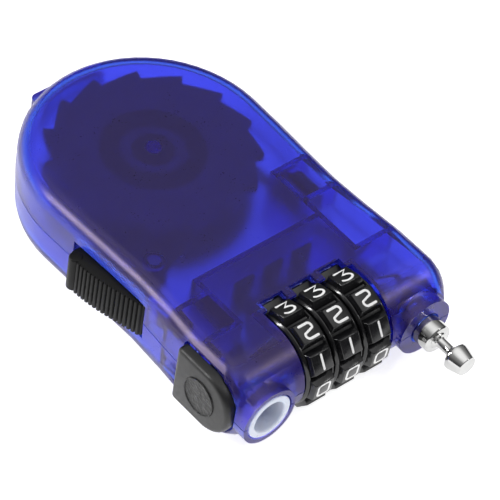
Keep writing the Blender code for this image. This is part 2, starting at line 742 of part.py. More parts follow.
def pin_plug(look):
    """The turned plug: ferrule, neck and cone head, with a bore for the cable in its tail."""
    face = -FERRULE_FACE_Y
    tail = -FERRULE_TAIL_Y
    neck_end = face + NECK_LENGTH
    tip = neck_end + HEAD_LENGTH
    profile = (
        (PLUG_BORE, tail),
        (FERRULE_RADIUS - 0.2, tail),
        (FERRULE_RADIUS, tail + 0.2),
        (FERRULE_RADIUS, face - 0.25),
        (FERRULE_RADIUS - 0.25, face),
        (1.75, face),
        (1.6, face + 0.35),
        (NECK_RADIUS + 0.1, face + 0.55),
        (NECK_RADIUS, face + 0.9),
        (NECK_RADIUS, neck_end - 0.75),
        (NECK_RADIUS + 0.55, neck_end - 0.35),
        (NECK_RADIUS + 0.6, neck_end),
        (HEAD_RADIUS - 0.45, neck_end + 0.05),
        (HEAD_RADIUS, neck_end + 0.45),
        (HEAD_RADIUS, neck_end + 1.1),
        (TIP_RADIUS + 0.05, tip - 0.1),
        (TIP_RADIUS - 0.1, tip),
        (0, tip),
        (0, PLUG_BORE_END),
        (PLUG_BORE, PLUG_BORE_END),
    )
    flipped = tuple((radius, -height) for radius, height in profile)
    body = turned("Y", (OUTLET_X, 0, SEAM_Z), flipped, 28)
    return finish(body, "pin_plug", look, 25)


def crimp_sleeve(look):
    body = tube("Y", (OUTLET_X, 0, SEAM_Z), CRIMP[1], CRIMP[0], CRIMP_FRONT_Y, FERRULE_TAIL_Y - 0.4, 32)
    return finish(body, "crimp_sleeve", look)


def pin_bush(look):
    """The socket's lining: a lip at the mouth, then a thinner tail, with a tapered hole."""
    face = BOSS_FACE_Y - 0.05
    lip = BOSS_FACE_Y + BUSH_LIP
    tail = BOSS_FACE_Y + BUSH_LENGTH
    profile = (
        (BUSH_MOUTH + 0.2, face),
        (BUSH_RADIUS - 0.15, face),
        (BUSH_RADIUS, face + 0.15),
        (BUSH_RADIUS, lip),
        (BUSH_TAIL_RADIUS, lip),
        (BUSH_TAIL_RADIUS, tail),
        (BUSH_THROAT, tail),
        (BUSH_MOUTH, face + 0.25),
    )
    body = turned("Y", (SOCKET_X, 0, SEAM_Z), profile, 32)
    return finish(body, "pin_bush", look)


def outlet_bush(look):
    radius, front, rear = OUTLET_BUSH
    body = tube("Y", (OUTLET_X, 0, SEAM_Z), radius, CABLE_RADIUS + GAP, front, rear, 32)
    return finish(body, "outlet_bush", look)


def layer_radius(layer):
    """The middle of a layer of wound cable."""
    return CORE_RADIUS + GAP + CABLE_RADIUS * (2 * layer + 1)


def cable_winding(look):
    """The wound cable as one turned ring, scalloped by its outer turns."""
    inner = CORE_RADIUS + GAP
    middle = layer_radius(CABLE_LAYERS - 1)
    low = FLANGE_Z[1] + GAP
    row_half = (RATCHET_Z[0] - GAP - low) / (2 * CABLE_ROWS)
    profile = [(inner, low)]
    for row in range(CABLE_ROWS):
        centre = low + row_half * (2 * row + 1)
        for i in range(4):
            angle = math.radians(-90 + 180 * i / 3)
            point = (middle + CABLE_RADIUS * math.cos(angle), centre + row_half * math.sin(angle))
            if row and i == 0:
                point = (point[0] + 0.1, point[1])
                profile[-1] = point
                continue
            profile.append(point)
    profile.append((inner, RATCHET_Z[0] - GAP))
    body = turned("Z", (0, 0, 0), profile, 32)
    return finish(body, "cable_winding", look, 60)


def cable_run(look):
    """The cable from the drum to the plug, beside the inner wall and out through the right boss."""
    start_x = layer_radius(CABLE_LAYERS - 1)
    steps = 16
    points = []
    for i in range(steps + 1):
        share = i / steps
        drift = smoothstep(share * 3.5)
        x = start_x + (OUTLET_X - start_x) * drift
        points.append((x, CABLE_REAR_Y + (CABLE_FRONT_Y - CABLE_REAR_Y) * share, SEAM_Z))
    return coil_object("cable_run", look, points, CABLE_RADIUS, 2)


def cable_guide(look):
    """The grooved block that holds the cable to its route, between two cell walls."""
    rear = CELL_REAR_Y - RIB / 2 - GAP
    front = CELL_MID_Y + RIB / 2 + GAP
    low = SEAM_Z + 0.6
    body = box((WALL_A_X + RIB / 2 + GAP, front, low), (GUIDE_X, rear, GUIDE_TOP_Z))
    soften(body, 0.3, 50, 2)
    cut(body, rod("Y", (OUTLET_X - 0.1, 0, SEAM_Z), CABLE_RADIUS + 0.5, front - 1, rear + 1, 32))
    return finish(body, "cable_guide", look)


# Drum

def tooth_outline():
    """The toothed rim: each tooth rises slowly and drops on its clockwise side."""
    points = []
    pitch = 360 / TOOTH_COUNT
    for tooth in range(TOOTH_COUNT):
        tip = TOOTH_PHASE + tooth * pitch
        for i in range(TOOTH_STEPS + 1):
            share = i / TOOTH_STEPS
            angle = math.radians(tip + share * (pitch - 1.6))
            radius = TOOTH_ROOT_RADIUS + (TOOTH_TIP_RADIUS - TOOTH_ROOT_RADIUS) * (1 - share) ** 1.5
            points.append((radius * math.cos(angle), radius * math.sin(angle)))
    return points


def cable_drum(look):
    body = plate(tooth_outline(), *RATCHET_Z)
    add(body, rod("Z", (0, 0, 0), CORE_RADIUS, CORE_FOOT_Z, RATCHET_Z[0] + 0.5, 48))
    cut(body, rod("Z", (0, 0, 0), CORE_RADIUS - CORE_WALL, 0, RATCHET_Z[0], 48))
    cut(body, rod("Z", (0, 0, 0), ARBOR_RADIUS + GAP, 0, 20, 36))
    inner, outer, depth = TOP_RECESS
    cut(body, tube("Z", (0, 0, 0), outer, inner, RATCHET_Z[1] - depth, RATCHET_Z[1] + 1, 40))
    return finish(body, "cable_drum", look)


def drum_lower_flange(look):
    low, high = FLANGE_Z
    spigot = CORE_RADIUS - CORE_WALL - GAP
    profile = (
        (ARBOR_RADIUS + GAP, low),
        (FLANGE_RADIUS - 0.3, low),
        (FLANGE_RADIUS, low + 0.3),
        (FLANGE_RADIUS, high),
        (spigot, high),
        (spigot, high + 0.8),
        (spigot - 0.8, high + 0.8),
        (spigot - 0.8, high),
        (ARBOR_RADIUS + GAP, high),
    )
    return finish(turned("Z", (0, 0, 0), profile, 36), "drum_lower_flange", look)


def spring_arbor(look):
    body = tube("Z", (0, 0, 0), ARBOR_RADIUS, ARBOR_BORE, WALL + GAP, CASE_THICKNESS - WALL - GAP, 32)
    return finish(body, "spring_arbor", look)


def drum_washer(look):
    body = tube("Z", (0, 0, 0), WASHER_RADIUS, ARBOR_RADIUS + GAP, WALL + 0.2, FLANGE_Z[0] - GAP, 32)
    return finish(body, "drum_washer", look)


def mainspring(look):
    """A flat spiral strip on edge, from the arbor to the drum's core."""
    low, high = FLANGE_Z[1] + 1.1, RATCHET_Z[0] - 0.4
    inner = ARBOR_RADIUS + GAP + 0.1
    outer = CORE_RADIUS - CORE_WALL - GAP - 0.2 - SPRING_STRIP
    steps = 16
    count = SPRING_TURNS * steps
    bm = bmesh.new()
    rings = []
    for i in range(count + 1):
        angle = math.tau * i / steps
        radius = inner + (outer - inner) * i / count
        corners = ((radius, low), (radius + SPRING_STRIP, low), (radius + SPRING_STRIP, high), (radius, high))
        rings.append([bm.verts.new((r * math.cos(angle), r * math.sin(angle), z)) for r, z in corners])
    for first, second in zip(rings, rings[1:]):
        for i in range(4):
            bm.faces.new((first[i - 1], first[i], second[i], second[i - 1]))
    bm.faces.new(rings[0])
    bm.faces.new(rings[-1])
    return finish(new_object("mainspring", bm), "mainspring", look)


# Lever

def lever_outer_line():
    """The lever's outside as (x, y), from its front end to the nose, with ribs."""
    line = []
    front, nose = LEVER_WINDOW_Y[0] + 0.5, LEVER_NOSE_Y
    count = LEVER_RIBS
    for i in range(count):
        start = front + (nose - front) * i / count
        pitch = (nose - front) / count
        for share, dip in ((0.08, 1), (0.28, 1), (0.42, 0), (0.94, 0)):
            y = start + pitch * share
            line.append((lever_face_x(y) + dip * LEVER_RIB_DEPTH, y))
    return line


def lever_face_x(y):
    """The outside of the lever: level with the case at its front end and proud at its nose."""
    share = (y - LEVER_WINDOW_Y[0]) / (LEVER_NOSE_Y + 0.2 - LEVER_WINDOW_Y[0])
    return -(WAIST_HALF_WIDTH + 0.2 + 3.2 * math.sin(math.radians(90 * share)) ** 1.2)


def recoil_lever(look):
    nose_x = lever_face_x(LEVER_NOSE_Y)
    outline = lever_outer_line()
    for inward, rearward in ((0, 0.3), (0.35, 1.1), (1.1, 1.7), (2.2, 1.8)):
        outline.append((nose_x + inward, LEVER_NOSE_Y + rearward))
    outline += [(-22.4, -9.6), (-21.9, -12.0), (-20.9, -18.0), (-19.0, -19.5)]
    outline += [(PIVOT_X, PIVOT_Y), (-19.0, -24.2), (-22.2, LEVER_WINDOW_Y[0] + 0.4)]
    outline += [(-23.4, LEVER_WINDOW_Y[0] + 0.4)]
    body = plate(outline, *LEVER_Z)
    add(body, rod("Z", (PIVOT_X, PIVOT_Y, 0), HUB_RADIUS, LEVER_Z[0] + 0.05, LEVER_Z[1] - 0.05, 48))
    cut(body, rod("Z", (PIVOT_X, PIVOT_Y, 0), PIVOT_SHANK + GAP, 0, 20, 32))
    return finish(body, "recoil_lever", look, 25)


def pawl(look):
    """The plate on the lever's hub, with its tip just off the drum's teeth."""
    reach = TOOTH_TIP_RADIUS + GAP
    tip_angle = math.radians(PAWL_ANGLE)
    tip = (reach * math.cos(tip_angle), reach * math.sin(tip_angle))
    outline = [
        (PIVOT_X + 0.5, PIVOT_Y + 2.3),
        (tip[0] - 3.0, tip[1] - 0.6),
        (tip[0] - 0.2, tip[1]),
        (tip[0] + 0.4, tip[1] - 1.6),
        (tip[0] - 3.0, tip[1] - 3.4),
        (PIVOT_X + 0.8, PIVOT_Y - 2.2),
    ]
    body = plate(outline, *PAWL_Z)
    add(body, rod("Z", (PIVOT_X, PIVOT_Y, 0), PAWL_HUB_RADIUS, PAWL_Z[0] + 0.02, PAWL_Z[1] - 0.02, 40))
    cut(body, rod("Z", (PIVOT_X, PIVOT_Y, 0), PIVOT_SHANK + GAP, 0, 20, 32))
    return finish(body, "pawl", look)


def pivot_screw(look):
    """The screw put in from the back that the lever and the pawl turn on, with a cross slot in its head."""
    radius, height, sink = PIVOT_HEAD
    profile = (
        (0, sink),
        (radius, sink),
        (radius, sink + height),
        (PIVOT_SHANK, sink + height),
        (PIVOT_SHANK, PIVOT_TOP_Z),
        (0, PIVOT_TOP_Z),
    )
    body = turned("Z", (PIVOT_X, PIVOT_Y, 0), profile, 32)
    slot_length, slot_half, slot_top = radius - 0.4, 0.2, sink + 0.4
    for across in ((slot_length, slot_half), (slot_half, slot_length)):
        low = (PIVOT_X - across[0], PIVOT_Y - across[1], -1)
        high = (PIVOT_X + across[0], PIVOT_Y + across[1], slot_top)
        cut(body, box(low, high))
    return finish(body, "pivot_screw", look)


def lever_spring(look):
    """The torsion coil round the pivot's lower boss, with a short leg at each end."""
    wire = 0.22
    radius = PIVOT_BOSS_RADIUS + GAP + wire
    low = WALL + GAP + wire
    high = LEVER_Z[0] - GAP - wire
    turns, steps = 3, 10
    points = [(PIVOT_X + radius, PIVOT_Y - 4.0, low)]
    for i in range(turns * steps + 1):
        angle = math.tau * i / steps
        z = low + (high - low) * i / (turns * steps)
        points.append((PIVOT_X + radius * math.cos(angle), PIVOT_Y + radius * math.sin(angle), z))
    points.append((PIVOT_X + radius, PIVOT_Y + 4.0, high))
    return coil_object("lever_spring", look, points, wire)


def set_origin(obj, place):
    """Puts an object's origin on its joint's axis without moving its shape."""
    shift = Vector(place) * MM
    obj.data.transform(Matrix.Translation(-shift))
    obj.location = shift


def main():
    for obj in list(bpy.data.objects):
        bpy.data.objects.remove(obj)
    case_look = material("case", (0.07, 0.05, 0.55), 0.25, alpha=0.45)
    black = material("black_plastic", (0.02, 0.02, 0.022), 0.35)
    drum_look = material("drum", (0.03, 0.03, 0.035), 0.5)
    nylon = material("white_nylon", (0.82, 0.86, 0.9), 0.35)
    chrome = material("chrome", (0.8, 0.8, 0.8), 0.08, 1)
    steel = material("steel", (0.5, 0.5, 0.52), 0.3, 1)
    brass = material("brass", (0.75, 0.55, 0.25), 0.3, 1)
    cable = material("cable", (0.05, 0.05, 0.06), 0.4)

    lower_shell(case_look)
    upper_shell(case_look)
    spring_arbor(drum_look)
    drum_washer(nylon)
    mainspring(steel)
    cable_drum(drum_look)
    drum_lower_flange(drum_look)
    cable_winding(cable)
    cable_run(cable)
    cable_guide(black)
    outlet_bush(black)
    plug = pin_plug(chrome)
    crimp_sleeve(brass)
    pin_bush(nylon)
    button = release_button(black)
    latch_plate(steel)
    spindle(brass)
    return_spring(steel)
    dials(black)
    dial_sleeves(brass)
    detent_spring(black)
    lever = recoil_lever(black)
    pawl_plate = pawl(black)
    pivot_screw(steel)
    lever_spring(steel)
    set_origin(plug, (OUTLET_X, FERRULE_FACE_Y, SEAM_Z))
    set_origin(button, (BUTTON_FACE_X, BARREL_Y, SEAM_Z))
    for piece in (lever, pawl_plate):
        set_origin(piece, (PIVOT_X, PIVOT_Y, 0))


main()
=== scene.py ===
"""The finished look of a retracting cable lock: clear shells, dials, grips, plug, cable and stage."""

import json
import math

import bmesh
import bpy
from bpy.props import FloatProperty, FloatVectorProperty, IntProperty, PointerProperty
from mathutils import Matrix, Vector
from mathutils.bvhtree import BVHTree


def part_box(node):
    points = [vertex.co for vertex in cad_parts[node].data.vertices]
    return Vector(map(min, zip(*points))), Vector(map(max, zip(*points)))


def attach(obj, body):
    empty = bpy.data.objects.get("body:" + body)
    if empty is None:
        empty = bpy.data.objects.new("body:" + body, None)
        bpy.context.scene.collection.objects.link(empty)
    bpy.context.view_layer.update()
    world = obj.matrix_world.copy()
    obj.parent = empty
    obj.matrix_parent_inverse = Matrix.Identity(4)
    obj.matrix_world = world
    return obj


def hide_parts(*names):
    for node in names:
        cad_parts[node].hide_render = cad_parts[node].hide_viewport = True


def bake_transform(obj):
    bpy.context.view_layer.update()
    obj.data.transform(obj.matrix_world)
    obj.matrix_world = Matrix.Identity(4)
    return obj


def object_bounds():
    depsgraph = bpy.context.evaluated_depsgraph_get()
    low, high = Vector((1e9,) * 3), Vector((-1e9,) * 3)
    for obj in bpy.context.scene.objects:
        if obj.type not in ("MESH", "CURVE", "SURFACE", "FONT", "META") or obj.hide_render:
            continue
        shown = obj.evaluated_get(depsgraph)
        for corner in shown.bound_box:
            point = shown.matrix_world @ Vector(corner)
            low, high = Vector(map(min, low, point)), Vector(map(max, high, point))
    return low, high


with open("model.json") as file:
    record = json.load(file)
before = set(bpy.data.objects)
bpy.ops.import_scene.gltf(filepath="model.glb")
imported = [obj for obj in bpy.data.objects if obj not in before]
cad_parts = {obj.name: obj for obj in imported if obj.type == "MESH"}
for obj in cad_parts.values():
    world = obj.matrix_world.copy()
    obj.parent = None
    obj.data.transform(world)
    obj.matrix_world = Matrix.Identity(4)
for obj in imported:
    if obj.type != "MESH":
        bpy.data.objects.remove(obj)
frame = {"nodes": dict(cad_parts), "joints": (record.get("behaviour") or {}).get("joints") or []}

bl_info = {
    "name": "Retracting Cable Lock",
    "version": (1, 0, 0),
    "blender": (4, 5, 0),
    "location": "View3D > Sidebar > Cable Lock",
    "description": "Builds the finished pieces of a combination lock with a retracting cable",
    "category": "Add Mesh",
}

CAD_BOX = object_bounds()
MM = 0.001
PANEL_EDGE_Z = 16.62 * MM  # where the cover's polished panel gives way to the grained sides
DIALS = ("dial_1", "dial_2", "dial_3")
PAD_COUNT = 10
PAD_TURN = math.tau / PAD_COUNT
FIRST_PAD = math.radians(-4.0)  # of the pad with the 0, from the front over the top
PAD_FACE_RADIUS = 9.65 * MM  # from a dial's axis to the flat face of a pad
RIGHT_ANGLE = math.radians(90)
MERGE_REACH = 1e-7  # points of a new piece closer than this become one
CAD_MERGE_REACH = 2e-6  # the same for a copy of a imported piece
AXIS_REACH = 1e-9  # a point nearer to the turning axis than this lies on it
MIX_COLOURS = (6, 7)  # a Mix node's two colour inputs
MIX_RESULT = 2  # and its colour output


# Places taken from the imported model

def middle(node):
    low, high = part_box(node)
    return (low + high) / 2


def dial_axis(name):
    """The middle of a dial on its axis."""
    return next(Vector(j["pos_m"]) for j in frame["joints"] if j["child"] == name)


# Settings

class LockSizes(bpy.types.PropertyGroup):
    digit_height: FloatProperty(
        name="Digit height", description="Height of a printed digit",
        default=2.75 * MM, unit="LENGTH", subtype="DISTANCE",
    )
    digit_width: FloatProperty(
        name="Digit width", description="Width of a printed digit",
        default=2.6 * MM, unit="LENGTH", subtype="DISTANCE",
    )
    digit_stroke: FloatProperty(
        name="Digit stroke", description="Width of a digit's line",
        default=0.46 * MM, unit="LENGTH", subtype="DISTANCE",
    )
    pad_edge: FloatProperty(
        name="Pad edge", description="Rounding of a dial pad's edges",
        default=0.16 * MM, unit="LENGTH", subtype="DISTANCE",
    )
    button_edge: FloatProperty(
        name="Button edge", description="Rounding of the release button's rim",
        default=1.3 * MM, unit="LENGTH", subtype="DISTANCE",
    )
    thumb_mark: FloatProperty(
        name="Thumb mark", description="Radius of the rough disc on the button",
        default=3.85 * MM, unit="LENGTH", subtype="DISTANCE",
    )
    lever_edge: FloatProperty(
        name="Lever edge", description="Rounding of the lever's ribs",
        default=0.09 * MM, unit="LENGTH", subtype="DISTANCE",
    )
    turned_steps: IntProperty(
        name="Turned steps", description="Faces round a turned piece", default=96, min=24, max=256
    )


class LockFinishes(bpy.types.PropertyGroup):
    case_surface: FloatVectorProperty(
        name="Case surface", description="Tint that light takes at the case's surface",
        subtype="COLOR", default=(0.55, 0.36, 0.99), min=0, max=1,
    )
    case_depth_tint: FloatVectorProperty(
        name="Case depth tint", description="Colour left by light that goes deep into the case",
        subtype="COLOR", default=(0.08, 0.60, 0.89), min=0, max=1,
    )
    case_density: FloatProperty(
        name="Case density", description="How fast the case takes up light, per metre",
        default=720, min=0,
    )
    black: FloatVectorProperty(
        name="Grip black", description="Colour of the button and lever",
        subtype="COLOR", default=(0.008, 0.008, 0.0085), min=0, max=1,
    )
    dial_black: FloatVectorProperty(
        name="Dial black", description="Colour of the dials",
        subtype="COLOR", default=(0.006, 0.006, 0.007), min=0, max=1,
    )
    digit_white: FloatVectorProperty(
        name="Digit white", description="Colour of the digits",
        subtype="COLOR", default=(0.86, 0.86, 0.86), min=0, max=1,
    )
    nylon: FloatVectorProperty(
        name="Bush white", description="Colour of the socket's lining",
        subtype="COLOR", default=(0.62, 0.66, 0.77), min=0, max=1,
    )


def sizes():
    return bpy.context.scene.lock_sizes


def finishes():
    return bpy.context.scene.lock_finishes


# Meshes

def finished(name, bm, look, body, stands_for=(), crease=30.0, weighted=False):
    """A finished piece from a bmesh in metres, riding on its body."""
    mesh = bpy.data.meshes.new(name)
    bm.to_mesh(mesh)
    bm.free()
    mesh.shade_smooth()
    mesh.set_sharp_from_angle(angle=math.radians(crease))
    piece = bpy.data.objects.new(name, mesh)
    bpy.context.scene.collection.objects.link(piece)
    mesh.materials.append(look)
    if weighted:
        modifier = piece.modifiers.new("even shading", "WEIGHTED_NORMAL")
        modifier.keep_sharp = True
        modifier.weight = 80
    if stands_for:
        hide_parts(*stands_for)
    if body:
        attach(piece, body)
    return piece


def merged_copy(node, flat=0.3):
    """The node's surface with its doubles merged and its flat faces made whole."""
    bm = bmesh.new()
    bm.from_mesh(frame["nodes"][node].data)
    bmesh.ops.remove_doubles(bm, verts=bm.verts, dist=CAD_MERGE_REACH)
    bmesh.ops.dissolve_limit(bm, angle_limit=math.radians(flat), verts=bm.verts, edges=bm.edges)
    return bm


def bevel_sharp(bm, width, angle=30.0, segments=3):
    """Rounds the edges that turn by more than an angle."""
    turn = math.radians(angle)
    edges = [e for e in bm.edges if len(e.link_faces) == 2 and e.calc_face_angle() > turn]
    bmesh.ops.bevel(
        bm, geom=edges, offset=width, offset_type="OFFSET", segments=segments, profile=0.5,
        affect="EDGES", clamp_overlap=True, material=-1,
    )


def along(axis):
    """The turn that takes +Z to an axis."""
    if axis == "X":
        return Matrix.Rotation(RIGHT_ANGLE, 4, "Y")
    if axis == "Z":
        return Matrix.Identity(4)
    return Matrix.Rotation(-RIGHT_ANGLE, 4, "X")


def turned(profile, axis, centre, edge=0.0):
    """A profile of (radius, height), in metres, spun about an axis through the centre."""
    bm = bmesh.new()
    points = [bm.verts.new((radius, 0, height)) for radius, height in profile]
    edges = [bm.edges.new(pair) for pair in zip(points, points[1:] + points[:1])]
    on_axis = [e for e in edges if all(abs(v.co.x) < AXIS_REACH for v in e.verts)]
    bmesh.ops.delete(bm, geom=on_axis, context="EDGES_FACES")
    bmesh.ops.spin(
        bm, geom=bm.verts[:] + bm.edges[:], axis=(0, 0, 1), cent=(0, 0, 0),
        steps=sizes().turned_steps, angle=math.tau, use_merge=True,
    )
    bmesh.ops.remove_doubles(bm, verts=bm.verts, dist=MERGE_REACH)
    bmesh.ops.recalc_face_normals(bm, faces=bm.faces)
    if edge:
        bevel_sharp(bm, edge, 20, 3)
    bmesh.ops.transform(bm, verts=bm.verts, matrix=Matrix.Translation(centre) @ along(axis))
    return bm


def rounded_plate(corners, radii, reach, rim=0.0, rim_segments=4, corner_segments=14):
    """A flat outline with rounded corners, pushed out, with a rounded rim on its far face."""
    bm = bmesh.new()
    points = [bm.verts.new(corner) for corner in corners]
    bm.faces.new(points)
    for point, radius in zip(points, radii):
        bmesh.ops.bevel(
            bm, geom=[point], offset=radius, offset_type="OFFSET", segments=corner_segments,
            profile=0.5, affect="VERTICES", clamp_overlap=False, material=-1,
        )
    bmesh.ops.remove_doubles(bm, verts=bm.verts, dist=MERGE_REACH)
    made = bmesh.ops.extrude_face_region(bm, geom=bm.faces[:])
    moved = [part for part in made["geom"] if isinstance(part, bmesh.types.BMVert)]
    bmesh.ops.translate(bm, verts=moved, vec=reach)
    bmesh.ops.recalc_face_normals(bm, faces=bm.faces)
    if rim:
        far = set(moved)
        edges = [e for e in bm.edges if e.verts[0] in far and e.verts[1] in far]
        bmesh.ops.bevel(
            bm, geom=edges, offset=rim, offset_type="OFFSET", segments=rim_segments, profile=0.5,
            affect="EDGES", clamp_overlap=True, material=-1,
        )
    return bm


def join_in(bm, other, matrix=None):
    """Adds another bmesh to this one."""
    if matrix is not None:
        bmesh.ops.transform(other, verts=other.verts, matrix=matrix)
    mesh = bpy.data.meshes.new("part")
    other.to_mesh(mesh)
    other.free()
    bm.from_mesh(mesh)
    bpy.data.meshes.remove(mesh)


def tube_along(paths, radius, sides=3, closed=()):
    """Round lines along lists of points, in metres, as one bmesh."""
    curve = bpy.data.curves.new("line", "CURVE")
    curve.dimensions = "3D"
    curve.bevel_depth = radius
    curve.bevel_resolution = sides
    curve.use_fill_caps = True
    for index, points in enumerate(paths):
        spline = curve.splines.new("POLY")
        spline.points.add(len(points) - 1)
        for point, place in zip(spline.points, points):
            point.co = (*place, 1)
        spline.use_cyclic_u = index in closed
    piece = bpy.data.objects.new("line", curve)
    bpy.context.scene.collection.objects.link(piece)
    graph = bpy.context.evaluated_depsgraph_get()
    mesh = bpy.data.meshes.new_from_object(piece.evaluated_get(graph))
    bm = bmesh.new()
    bm.from_mesh(mesh)
    bpy.data.objects.remove(piece)
    bpy.data.curves.remove(curve)
    bpy.data.meshes.remove(mesh)
    bmesh.ops.remove_doubles(bm, verts=bm.verts, dist=MERGE_REACH)
    bmesh.ops.recalc_face_normals(bm, faces=bm.faces)
    return bm


# Materials

class Look:
    """A node material that is filled in step by step."""

    def __init__(self, name):
        self.material = bpy.data.materials.new(name)
        self.material.use_nodes = True
        self.tree = self.material.node_tree
        self.shader = self.tree.nodes["Principled BSDF"]
        self.place = self.node("ShaderNodeTexCoord").outputs["Object"]

    def node(self, kind, **settings):
        made = self.tree.nodes.new(kind)
        for key, value in settings.items():
            setattr(made, key, value)
        return made

    def join(self, source, target):
        self.tree.links.new(source, target)

    def noise(self, scale, detail=3.0, roughness=0.5, place=None):
        made = self.node("ShaderNodeTexNoise")
        made.inputs["Scale"].default_value = scale
        made.inputs["Detail"].default_value = detail
        made.inputs["Roughness"].default_value = roughness
        self.join(place or self.place, made.inputs["Vector"])
        return made.outputs["Fac"]

    def spread(self, source, low, high, start=0.3, end=0.7):
        """A value mapped from start..end onto low..high."""
        made = self.node("ShaderNodeMapRange")
        limits = {"From Min": start, "From Max": end, "To Min": low, "To Max": high}
        for name, value in limits.items():
            made.inputs[name].default_value = value
        self.join(source, made.inputs["Value"])
        return made.outputs["Result"]

    def blend(self, factor, first, second):
        """Two colours mixed by a factor."""
        made = self.node("ShaderNodeMix", data_type="RGBA")
        self.join(factor, made.inputs["Factor"])
        for index, colour in zip(MIX_COLOURS, (first, second)):
            if isinstance(colour, bpy.types.NodeSocket):
                self.join(colour, made.inputs[index])
            else:
                made.inputs[index].default_value = (*colour, 1)
        return made.outputs[MIX_RESULT]

    def maths(self, operation, first, second):
        made = self.node("ShaderNodeMath", operation=operation)
        for index, value in enumerate((first, second)):
            if isinstance(value, bpy.types.NodeSocket):
                self.join(value, made.inputs[index])
            else:
                made.inputs[index].default_value = value
        return made.outputs[0]

    def bump(self, height, distance, strength=1.0, under=None):
        made = self.node("ShaderNodeBump")
        made.inputs["Strength"].default_value = strength
        made.inputs["Distance"].default_value = distance
        self.join(height, made.inputs["Height"])
        if under is not None:
            self.join(under, made.inputs["Normal"])
        self.join(made.outputs["Normal"], self.shader.inputs["Normal"])
        return made.outputs["Normal"]

    def set(self, **values):
        """Uniform numbers, each set on the shader's own socket."""
        for name, value in values.items():
            socket = name.replace("_", " ").title().replace("Ior", "IOR")
            self.shader.inputs[socket].default_value = value

    def colour(self, source):
        self.join(source, self.shader.inputs["Base Color"])

    def rough(self, source):
        self.join(source, self.shader.inputs["Roughness"])


def shade(colour, factor):
    return tuple(min(1.0, c * factor) for c in colour)


def plastic(name, colour, rough=(0.3, 0.4), grain=9000.0, grain_depth=6e-6, change=0.25, gloss=0.5):
    """Moulded plastic: a faint change of colour, uneven gloss and a fine grain."""
    look = Look(name)
    darker, lighter = shade(colour, 1 - change), shade(colour, 1 + change)
    look.colour(look.blend(look.noise(260, 4), darker, lighter))
    look.rough(look.spread(look.noise(900, 4), rough[0], rough[1]))
    look.bump(look.noise(grain, 2), grain_depth, 0.6)
    look.set(specular_ior_level=gloss)
    return look.material


def metal(name, colour, rough=(0.12, 0.25), lined=False, change=0.08):
    """Metal with uneven polish and, where wanted, fine turning lines along the piece."""
    look = Look(name)
    look.set(metallic=1.0)
    darker, lighter = shade(colour, 1 - change), shade(colour, 1 + change)
    look.colour(look.blend(look.noise(500, 4), darker, lighter))
    look.rough(look.spread(look.noise(1800, 4), rough[0], rough[1]))
    place = look.place
    if lined:
        stretch = look.node("ShaderNodeMapping")
        stretch.inputs["Scale"].default_value = (0.05, 1.0, 0.05)
        look.join(look.place, stretch.inputs["Vector"])
        place = stretch.outputs["Vector"]
    look.bump(look.noise(14000 if lined else 6000, 2, place=place), 3e-6, 0.5)
    return look.material


def mark_outside(bm):
    """Stores 1 on the faces that look out of the case and 0 on those that look into it."""
    bm.normal_update()
    outside = bm.faces.layers.float.new("outside")
    tree = BVHTree.FromBMesh(bm)
    clear = 1e-5  # the ray starts this far off its own face
    for face in bm.faces:
        start = face.calc_center_median() + face.normal * clear
        face[outside] = float(tree.ray_cast(start, face.normal)[0] is None)


def case_plastic():
    """Deep blue clear plastic: polished on the cover's flat, satin and finely grained elsewhere, with
    a faint painted glow that lifts its dark parts.
    """
    values = finishes()
    look = Look("case clear blue")
    look.set(transmission_weight=0.98, ior=1.47)
    look.shader.inputs["Specular Tint"].default_value = (0.93, 0.74, 1.0, 1)
    # Painted glow: a faint blue-violet emission lifts the case's dark parts, although the plastic
    # gives off no light.
    look.shader.inputs["Emission Color"].default_value = (0.12, 0.04, 1.0, 1)
    look.shader.inputs["Emission Strength"].default_value = 0.014
    tint = tuple(values.case_surface)
    look.colour(look.blend(look.noise(120, 3), shade(tint, 0.92), shade(tint, 1.04)))
    height = look.node("ShaderNodeSeparateXYZ")
    look.join(look.place, height.inputs[0])
    skin = look.node("ShaderNodeAttribute", attribute_name="outside").outputs["Fac"]
    soft = 0.06 * MM
    side = look.spread(height.outputs["Z"], 1.0, 0.0, PANEL_EDGE_Z - soft, PANEL_EDGE_Z + soft)
    off_back = look.spread(height.outputs["Z"], 0.0, 1.0, 0.2 * MM, 0.7 * MM)
    grained = look.maths("MULTIPLY", look.maths("MULTIPLY", skin, side), off_back)
    satin = look.maths("MULTIPLY", look.spread(look.noise(2600, 3), 0.09, 0.17), grained)
    look.rough(look.maths("ADD", look.spread(look.noise(300, 3), 0.17, 0.21), satin))
    step = look.bump(look.maths("MULTIPLY", skin, side), 4.0e-5, 1.0)
    look.bump(look.maths("MULTIPLY", look.noise(4200, 2), grained), 6.0e-6, 0.35, step)
    volume = look.node("ShaderNodeVolumeAbsorption")
    volume.inputs["Color"].default_value = (*values.case_depth_tint, 1)
    volume.inputs["Density"].default_value = values.case_density
    look.join(volume.outputs[0], look.tree.nodes["Material Output"].inputs["Volume"])
    return look.material


# Operators

class CASE_OT_build(bpy.types.Operator):
    """Make both clear shells of the case"""

    bl_idname = "lock.build_case"
    bl_label = "Case Shells"

    def execute(self, context):
        look = case_plastic()
        for node, name in (("upper_shell", "case_cover"), ("lower_shell", "case_back")):
            bm = merged_copy(node)
            mark_outside(bm)
            finished(name, bm, look, "case", [node], 32, weighted=True)
        return {"FINISHED"}


def dial_ring():
    """A dial's ring: flanges at both sides, a channel between them, and a bore."""
    half, bore = 3.2 * MM, 4.65 * MM
    side, flange, channel = 8.3 * MM, 8.72 * MM, 8.2 * MM
    slope, flange_end, channel_end = 0.42 * MM, 2.55 * MM, 2.3 * MM
    profile = [
        (bore, -half), (side, -half), (flange, -half + slope), (flange, -flange_end),
        (channel, -channel_end), (channel, channel_end),
        (flange, flange_end), (flange, half - slope), (side, half), (bore, half),
    ]
    return turned(profile, "X", (0, 0, 0), 0.06 * MM)


